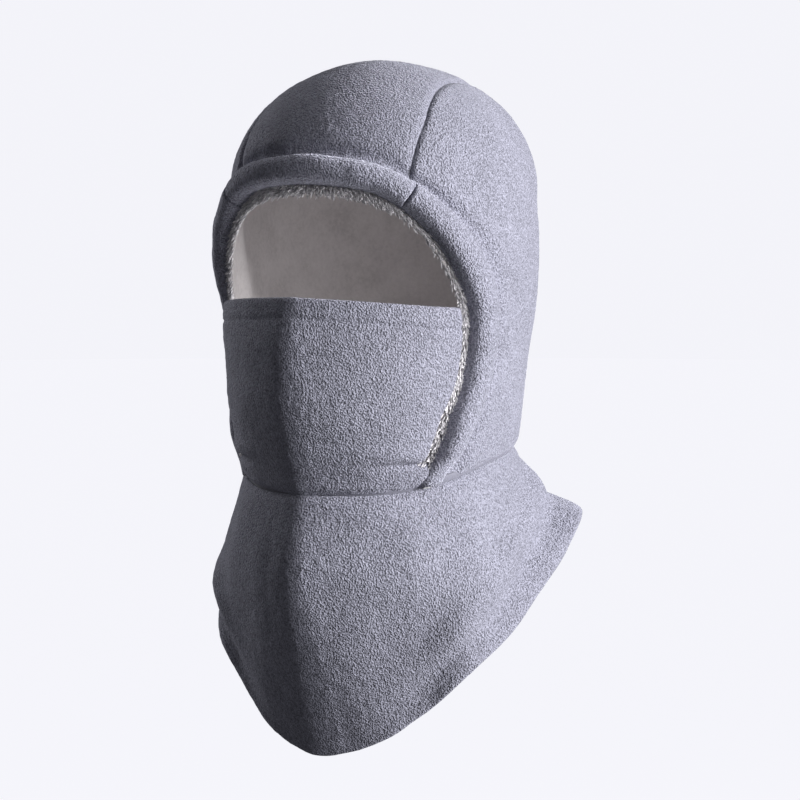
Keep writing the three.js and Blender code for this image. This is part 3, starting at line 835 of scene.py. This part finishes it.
def cape_plush():
    points, normals, angle, from_hem = cape_grid(220, 60, 0.6, CAPE_HEM + 1.5, -0.3)
    base = slack(points) * CAPE_SLACK + cape_folds(angle, from_hem) + cape_ridge(points)
    piece = lining("cape_plush", points, normals, base, ("top", "bottom"))
    hand_over_sheet(piece, "plush_lining", ("cape_lining",))


# ---- Binding and fringe ----------------------------------

def ring_object(name, rings):
    """Closed tube through rings, each end closed to a point at its middle."""
    count, size = rings.shape[:2]
    a = np.arange(count * size).reshape(count, size)
    b = np.roll(a, -1, axis=1)
    quads = np.stack([a[:-1], b[:-1], b[1:], a[1:]], -1).reshape(-1, 4)
    first, last = count * size, count * size + 1
    caps = [[first, int(b[0, k]), int(a[0, k])] for k in range(size)]
    caps += [[last, int(a[-1, k]), int(b[-1, k])] for k in range(size)]
    points = np.concatenate([rings.reshape(-1, 3), rings[:1].mean(1), rings[-1:].mean(1)])
    return make_object(name, points, quads.tolist() + caps)


def seam_station(across):
    """Station where a line at a distance from the rim meets the neck seam."""
    def below(s):
        p = rim_offset(s, across, 0 * across)
        return SEAM_Z(p[..., 1]) + 0.9 - p[..., 2]

    return solve(below, np.full(np.shape(across), 11.0), np.full(np.shape(across), float(RIM_END)))


def binding_profile():
    """Across as a share of the half width, and height, round one section."""
    around = np.linspace(0, 2 * np.pi, BINDING_SIDES, endpoint=False)
    c, s = np.cos(around), np.sin(around)
    across = np.sign(c) * np.abs(c) ** 0.9
    high = (BINDING_HEIGHT + BINDING_ROOT) * np.abs(s) ** 0.75 - BINDING_ROOT
    low = -BINDING_ROOT - np.abs(s)
    return across, np.where(s >= 0, high, low), s >= 0


def binding_swell(side, travelled, length):
    """Fullness of a roll: pinched at its joins, thin at the chin, and flatter at the wearer's right."""
    ends = travelled if side else np.minimum(travelled, length - travelled)
    swell = 0.62 + 0.38 * np.sqrt(1 - np.clip(1 - ends / PINCH_LENGTH, 0, 1) ** 2)
    if side:
        swell *= 1 - 0.5 * smooth(travelled, length - 24, length)
    if side < 0:
        swell *= 1 - RIGHT_FLATTENED * smooth(travelled, 0.3 * length, 0.6 * length)
    return swell


def binding_rings(side, steps):
    """Side 0 is the brow piece; 1 and -1 run from the joins down to the neck seam."""
    share, high, is_top = binding_profile()
    if side == 0:
        stations, length = even_stations(-JOIN_STATION, JOIN_STATION, steps)
        stations = stations[:, None] + 0 * share
    else:
        first, length = even_stations(JOIN_STATION, RIM_END, steps)
        last = seam_station(share * BINDING_FOOT)
        run = (first - first[0]) / (first[-1] - first[0])
        stations = side * (first[0] + (last - first[0])[None, :] * run[:, None])
    travelled = np.linspace(0, length, steps + 1)
    swell = binding_swell(side, travelled, length)
    half = half_binding(stations) + 0.5
    across = half * share * (0.93 + 0.07 * swell[:, None])
    path = rim_point(stations)
    lumps = noise(path, 11, 21) * 0.45 + noise(path, 26, 22) * 0.5
    height = -1.4 + (high + 1.4) * swell[:, None] + is_top * lumps
    pucker = noise(stack(travelled[:, None], 0.0 * share, 0.0), 5.0, 23) * 0.3
    height = height + pucker * bell(np.abs(across) - half, 2.0) + slack(path)
    rings = rim_offset(stations, across, height)
    centre = rim_offset(stations, 0 * across, 0 * height + 1.0)
    return rings + unit(rings - centre) * pile(rings)[..., None] * 0.9


def bindings():
    for word, side, steps in (("brow", 0, 150), ("left", 1, 210), ("right", -1, 210)):
        piece = ring_object(f"{word}_roll", binding_rings(side, steps))
        hand_over(piece, "binding", (f"{word}_binding",))


def tufts(name, roots, directions, lengths, radii, bends):
    """Curved tapered tufts of pile, each closed, standing on their roots."""
    count = len(roots)
    side = unit(np.cross(directions, bends))
    other = unit(np.cross(directions, side))
    rings = []
    for share, thick in TUFT_RINGS:
        centre = roots + directions * (lengths * share)[:, None]
        centre = centre + bends * (lengths * share * share)[:, None]
        for k in range(TUFT_SIDES):
            angle = 2 * math.pi * k / TUFT_SIDES
            spread = side * math.cos(angle) + other * math.sin(angle)
            rings.append(centre + spread * (radii * thick)[:, None])
    tip = roots + directions * lengths[:, None] + bends * lengths[:, None]
    points = np.stack([*rings, tip], 1)
    top = TUFT_SIDES * (len(TUFT_RINGS) - 1)
    triangles = [[0, k + 1, k] for k in range(1, TUFT_SIDES - 1)]
    for level in range(0, top, TUFT_SIDES):
        for k in range(TUFT_SIDES):
            a, b = level + k, level + (k + 1) % TUFT_SIDES
            triangles += [[a, b, b + TUFT_SIDES], [a, b + TUFT_SIDES, a + TUFT_SIDES]]
    triangles += [[top + k, top + (k + 1) % TUFT_SIDES, top + TUFT_SIDES] for k in range(TUFT_SIDES)]
    base = (np.arange(count) * points.shape[1])[:, None]
    faces = (base[:, :, None] + np.array(triangles)[None, :, :]).reshape(-1, 3)
    return make_object(name, points, faces.tolist())


def fringe(word, start, end, count):
    """Lining pile that spills out past the binding, combed inwards and down."""
    station = RNG.uniform(start, end, count)
    furthest = REACH(np.abs(station))
    reach = RNG.uniform(-0.3, 0.95, count) * furthest
    across = -half_binding(station) - reach
    inside = np.clip(reach / furthest, 0, 1)
    height = -LINING_FRONT - 0.2 - 2.0 * inside ** 3
    roots = rim_offset(station, across, height)
    inward = unit(rim_offset(station, across - 1.0, height) - roots)
    normal = hood_normal(roots)
    down = np.cross(normal, inward) * np.tanh(station / 1.2)[:, None]
    comb = noise(roots, 7.0, 31)[:, None]
    directions = unit(
        normal * (0.9 - 0.35 * inside)[:, None]
        + inward * (0.35 + 0.35 * inside)[:, None]
        + down * (0.55 + 0.5 * comb)
        + RNG.normal(0, 0.16, (count, 3))
    )
    bends = down * RNG.uniform(0.0, 0.5, count)[:, None] + inward * RNG.uniform(-0.2, 0.3, count)[:, None]
    lengths = RNG.uniform(2.6, 4.6, count) * (0.55 + 0.08 * furthest)
    radii = RNG.uniform(0.34, 0.62, count)
    piece = tufts(f"{word}_fringe", roots, directions, lengths, radii, bends)
    hand_over(piece, "plush_lining")


def fringes():
    fringe("brow", -JOIN_STATION, JOIN_STATION, 1300)
    fringe("left", JOIN_STATION, FRINGE_END, 1500)
    fringe("right", -FRINGE_END, -JOIN_STATION, 1500)


# ---- Threads, tape and elastics --------------------------

def tube_rings(path, normals, sides, radius, flat=1.0):
    """Rings round a path; flat is how much wider they are along the cloth than through it."""
    tangent = unit(np.gradient(path, axis=0))
    across = unit(np.cross(tangent, normals))
    up = np.cross(across, tangent)
    around = np.linspace(0, 2 * np.pi, sides, endpoint=False)
    radius = np.broadcast_to(radius, (len(path),))[:, None, None]
    c, s = np.cos(around)[None, :, None], np.sin(around)[None, :, None]
    return path[:, None, :] + radius * (across[:, None, :] * c * flat + up[:, None, :] * s)


def elastics(mask_path, mask_normals):
    """The elastic inside the binding all round the rim, and the one inside the mask's hem."""
    path = rim_point(np.linspace(-RIM_END + 0.7, RIM_END - 0.7, 500))
    normals = hood_normal(path)
    sunk_path = path + normals * (slack(path) - ELASTIC_DEPTH)[:, None]
    rim = ring_object("rim_elastic", tube_rings(sunk_path, normals, 12, *RIM_ELASTIC))
    hand_over(rim, "elastic", ("opening_elastic",))
    hem = ring_object("hem_elastic", tube_rings(mask_path, mask_normals, 12, *HEM_ELASTIC))
    hand_over(hem, "elastic", ("mask_top_elastic",), across_fold=True)


def crown_threads():
    for side, word in SIDES:
        path = crown_point(float(side), np.linspace(math.radians(14), math.radians(240.5), 700))
        normals = hood_normal(path)
        twist = 0.3 + 0.1 * np.sin(travelled_along(path) * 2 * np.pi / 2.6)
        sunk_path = path + normals * (slack(path) - THREAD_DEPTH)[:, None]
        piece = ring_object(f"crown_thread_{word}", tube_rings(sunk_path, normals, 6, twist))
        hand_over(piece, "thread", (f"crown_seam_{word}",))


def neck_tape():
    path = neck_point(np.linspace(-math.pi + 0.01, math.pi - 0.01, 1300))
    normals = hood_normal(path)
    ridge = front_ridge(path) * (path[:, 1] < 0)
    sunk_path = path + normals * (slack(path) * 0.9 + ridge - TAPE_DEPTH)[:, None]
    piece = ring_object("neck_tape", tube_rings(sunk_path, normals, 12, 0.45, TAPE_FLATNESS))
    hand_over(piece, "thread", ("neck_seam",))


# ---- Materials -------------------------------------------

class Nodes:
    """Builds the node tree of one material, placed by the object's own coordinates."""

    def __init__(self, name):
        self.material = bpy.data.materials.new(name)
        self.material.use_nodes = True
        self.tree = self.material.node_tree
        self.shader = self.tree.nodes["Principled BSDF"]
        self.place = self.add("ShaderNodeTexCoord").outputs["Object"]

    def add(self, kind, **settings):
        node = self.tree.nodes.new(kind)
        for key, value in settings.items():
            setattr(node, key, value)
        return node

    def link(self, a, b):
        self.tree.links.new(a, b)

    def noise(self, scale, detail, rough=0.5, distortion=0.0):
        node = self.add("ShaderNodeTexNoise")
        self.link(self.place, node.inputs["Vector"])
        node.inputs["Scale"].default_value = scale
        node.inputs["Detail"].default_value = detail
        node.inputs["Roughness"].default_value = rough
        node.inputs["Distortion"].default_value = distortion
        return node.outputs["Fac"]

    def math(self, operation, a, b):
        node = self.add("ShaderNodeMath", operation=operation)
        for socket, value in zip(node.inputs, (a, b)):
            if isinstance(value, (int, float)):
                socket.default_value = value
            else:
                self.link(value, socket)
        return node.outputs[0]

    def mixed(self, a, b, share):
        """Blend of two patterns; share is how much of the first."""
        rest = self.math("MULTIPLY", b, round(1 - share, 4))
        return self.math("ADD", self.math("MULTIPLY", a, share), rest)

    def ramp(self, factor, colours):
        """Colours at positions along a pattern."""
        node = self.add("ShaderNodeValToRGB")
        self.link(factor, node.inputs["Fac"])
        elements = node.color_ramp.elements
        while len(elements) < len(colours):
            elements.new(0.5)
        for element, (position, colour) in zip(elements, colours):
            element.position = position
            element.color = (*colour, 1)
        return node.outputs["Color"]

    def finish(self, colour, pattern, roughness, bump, values):
        """Roughness is (share of the pattern, base), and bump is (height, strength, metres)."""
        self.link(colour, self.shader.inputs["Base Color"])
        share, base = roughness
        rough = self.math("ADD", self.math("MULTIPLY", pattern, share), base)
        self.link(rough, self.shader.inputs["Roughness"])
        for name, value in values.items():
            self.shader.inputs[name].default_value = value
        node = self.add("ShaderNodeBump")
        self.link(bump[0], node.inputs["Height"])
        node.inputs["Strength"].default_value = bump[1]
        node.inputs["Distance"].default_value = bump[2]
        self.link(node.outputs["Normal"], self.shader.inputs["Normal"])
        return self.material


def scaled(tint, share):
    return tuple(c * share for c in tint)


def fleece_material(name, tint, sheen):
    """Pebbled pile, about a millimetre to each pebble, with faint broad patches; the colour is darker in
    the pebbles' hollows and lighter on their tops, as painted shade and light.
    """
    n = Nodes(name)
    pebbles = n.mixed(n.noise(1000.0, 1.2), n.noise(500.0, 1.0), 0.75)
    broad = n.noise(45.0, 3.0)
    shade = n.mixed(pebbles, broad, 0.88)
    # Painted shade and light: the colour follows the bump's pebbles, darker in their hollows and lighter
    # on their tops.
    colour = n.ramp(shade, [(0.36, scaled(tint, 0.58)), (0.5, tint), (0.64, scaled(tint, 1.36))])
    return n.finish(colour, broad, (0.1, 0.85), (pebbles, 1.0, 0.0020), {
        "Sheen Weight": sheen,
        "Sheen Roughness": 0.35,
        "Sheen Tint": (0.85, 0.85, 1.0, 1),
        "Specular IOR Level": 0.12,
    })


def plush_material(name, tint, light_end):
    """Short silver pile seen from above."""
    n = Nodes(name)
    fine = n.noise(420.0, 4.0, 0.6, 0.3)
    shade = n.mixed(fine, n.noise(48.0, 2.0), 0.5)
    colour = n.ramp(shade, [(0.3, scaled(tint, 0.8)), (0.5, tint), (0.7, light_end)])
    values = {"Sheen Weight": 0.3, "Sheen Roughness": 0.5, "Specular IOR Level": 0.2}
    return n.finish(colour, fine, (0.12, 0.82), (fine, 0.35, 0.0008), values)


def fibre_material(name):
    """Tufts of the same pile, each a little lighter or darker than the next."""
    n = Nodes(name)
    tuft = n.add("ShaderNodeNewGeometry").outputs["Random Per Island"]
    streak = n.noise(900.0, 2.0)
    shade = n.mixed(tuft, streak, 0.75)
    dark, silver, bright = (0.30, 0.29, 0.31), (0.66, 0.64, 0.67), (0.96, 0.94, 0.97)
    colour = n.ramp(shade, [(0.1, dark), (0.45, silver), (0.9, bright)])
    values = {"Sheen Weight": 0.4, "Specular IOR Level": 0.35}
    return n.finish(colour, streak, (0.2, 0.5), (streak, 0.2, 0.0002), values)


def thread_material(name, tint):
    n = Nodes(name)
    twist = n.noise(1500.0, 2.0)
    colour = n.ramp(twist, [(0.3, scaled(tint, 0.65)), (0.7, tint)])
    return n.finish(colour, twist, (0.2, 0.6), (twist, 0.4, 0.0003), {"Sheen Weight": 0.2})


def elastic_material(name):
    n = Nodes(name)
    wave = n.add("ShaderNodeTexWave", bands_direction="Z")
    n.link(n.place, wave.inputs["Vector"])
    wave.inputs["Scale"].default_value = 260.0
    wave.inputs["Distortion"].default_value = 0.6
    ribs = wave.outputs["Fac"]
    colour = n.ramp(ribs, [(0.2, (0.45, 0.45, 0.46)), (0.8, (0.72, 0.72, 0.72))])
    return n.finish(colour, ribs, (0.2, 0.6), (ribs, 0.5, 0.0004), {})


def dress(materials):
    """Every piece and every CAD node left showing gets the material of its slot."""
    slots = {s["node"]: s["material_slot"] for s in frame["record"]["subparts"]}
    for obj in [obj for obj in bpy.data.objects if obj.type == "MESH"]:
        name = "fibre" if obj.name.endswith("_fringe") else obj.get("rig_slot") or slots[obj.name]
        if not obj.material_slots:
            obj.data.materials.append(materials[name])
        for slot in obj.material_slots:
            slot.material = materials[name]


# ---- Stage, lights and camera ----------------------------

def floor_material():
    """Pale and even from above, and clear from underneath."""
    material = bpy.data.materials.new("pale_floor")
    material.use_nodes = True
    tree = material.node_tree
    shader = tree.nodes["Principled BSDF"]
    shader.inputs["Base Color"].default_value = (0.02, 0.02, 0.02, 1)
    shader.inputs["Roughness"].default_value = 0.9
    shader.inputs["Emission Color"].default_value = PALE
    shader.inputs["Emission Strength"].default_value = 1.0
    clear = tree.nodes.new("ShaderNodeBsdfTransparent")
    mix = tree.nodes.new("ShaderNodeMixShader")
    side = tree.nodes.new("ShaderNodeNewGeometry")
    tree.links.new(side.outputs["Backfacing"], mix.inputs["Fac"])
    tree.links.new(shader.outputs["BSDF"], mix.inputs[1])
    tree.links.new(clear.outputs["BSDF"], mix.inputs[2])
    tree.links.new(mix.outputs["Shader"], tree.nodes["Material Output"].inputs["Surface"])
    return material


def area_light(name, place, target, size, energy, colour=(1, 1, 1)):
    data = bpy.data.lights.new(name, "AREA")
    data.shape = "RECTANGLE"
    data.size, data.size_y = size
    data.energy = energy
    data.color = colour
    data.spread = LIGHT_SPREAD
    light = bpy.data.objects.new(name, data)
    light.visible_camera = False
    light.location = place
    light.rotation_euler = (Vector(target) - Vector(place)).to_track_quat("-Z", "Y").to_euler()
    bpy.context.scene.collection.objects.link(light)


def camera():
    back = Vector((
        math.sin(VIEW_TURN) * math.cos(VIEW_RISE),
        -math.cos(VIEW_TURN) * math.cos(VIEW_RISE),
        math.sin(VIEW_RISE),
    ))
    right = Vector((math.cos(VIEW_TURN), math.sin(VIEW_TURN), 0))
    up = right.cross(-back)
    aim = Vector(VIEW_CENTRE) + right * FRAME_SHIFT[0] + up * FRAME_SHIFT[1]
    data = bpy.data.cameras.new("camera")
    data.lens = FOCAL_LENGTH
    data.sensor_width = 36
    obj = bpy.data.objects.new("camera", data)
    obj.location = aim + back * VIEW_DISTANCE
    obj.rotation_euler = (-back).to_track_quat("-Z", "Y").to_euler()
    bpy.context.scene.collection.objects.link(obj)
    bpy.context.scene.camera = obj


def floor():
    """A plain pale disc below the hanging balaclava."""
    turns = np.linspace(0, 2 * np.pi, 96, endpoint=False)
    corners = [(FLOOR_RADIUS * math.cos(a), FLOOR_RADIUS * math.sin(a), FLOOR_Z) for a in turns]
    mesh = bpy.data.meshes.new("floor")
    mesh.from_pydata(corners, [], [tuple(range(len(corners)))])
    mesh.update()
    disc = bpy.data.objects.new("floor", mesh)
    bpy.context.scene.collection.objects.link(disc)
    disc.data.materials.append(floor_material())
    disc.visible_diffuse = False
    disc.visible_glossy = False


def studio_world():
    """Pale surroundings to look at, and a low even light."""
    world = bpy.data.worlds.new("studio")
    bpy.context.scene.world = world
    world.use_nodes = True
    tree = world.node_tree
    background = tree.nodes["Background"]
    path = tree.nodes.new("ShaderNodeLightPath")
    strength = tree.nodes.new("ShaderNodeMapRange")
    strength.inputs["To Min"].default_value = FILL_LIGHT
    strength.inputs["To Max"].default_value = 1.0
    tree.links.new(path.outputs["Is Camera Ray"], strength.inputs["Value"])
    tree.links.new(strength.outputs["Result"], background.inputs["Strength"])
    background.inputs["Color"].default_value = PALE


def stage():
    floor()
    studio_world()
    for light in LIGHTS:
        area_light(*light)
    bpy.context.scene.view_settings.view_transform = "Standard"


# ---- Assembly --------------------------------------------

camera()
hood_panels()
hood_linings()
hem_path, hem_normals = face_mask()
mask_plush()
chin_plush()
cape_cloth()
cape_plush()
bindings()
elastics(hem_path, hem_normals)
fringes()
crown_threads()
neck_tape()
dress({
    "fleece": fleece_material("fleece_grey", (0.265, 0.265, 0.325), 0.45),
    # The binding is the panels' fleece painted a little lighter, as painted light that sets the rolls off
    # from the panels beside them.
    "binding": fleece_material("fleece_binding", (0.285, 0.285, 0.35), 0.9),
    "plush_lining": plush_material("plush_silver", (0.62, 0.585, 0.59), (0.70, 0.665, 0.67)),
    "fibre": fibre_material("plush_fibre"),
    "thread": thread_material("thread_grey", (0.19, 0.19, 0.24)),
    "elastic": elastic_material("elastic_white"),
})
stage()
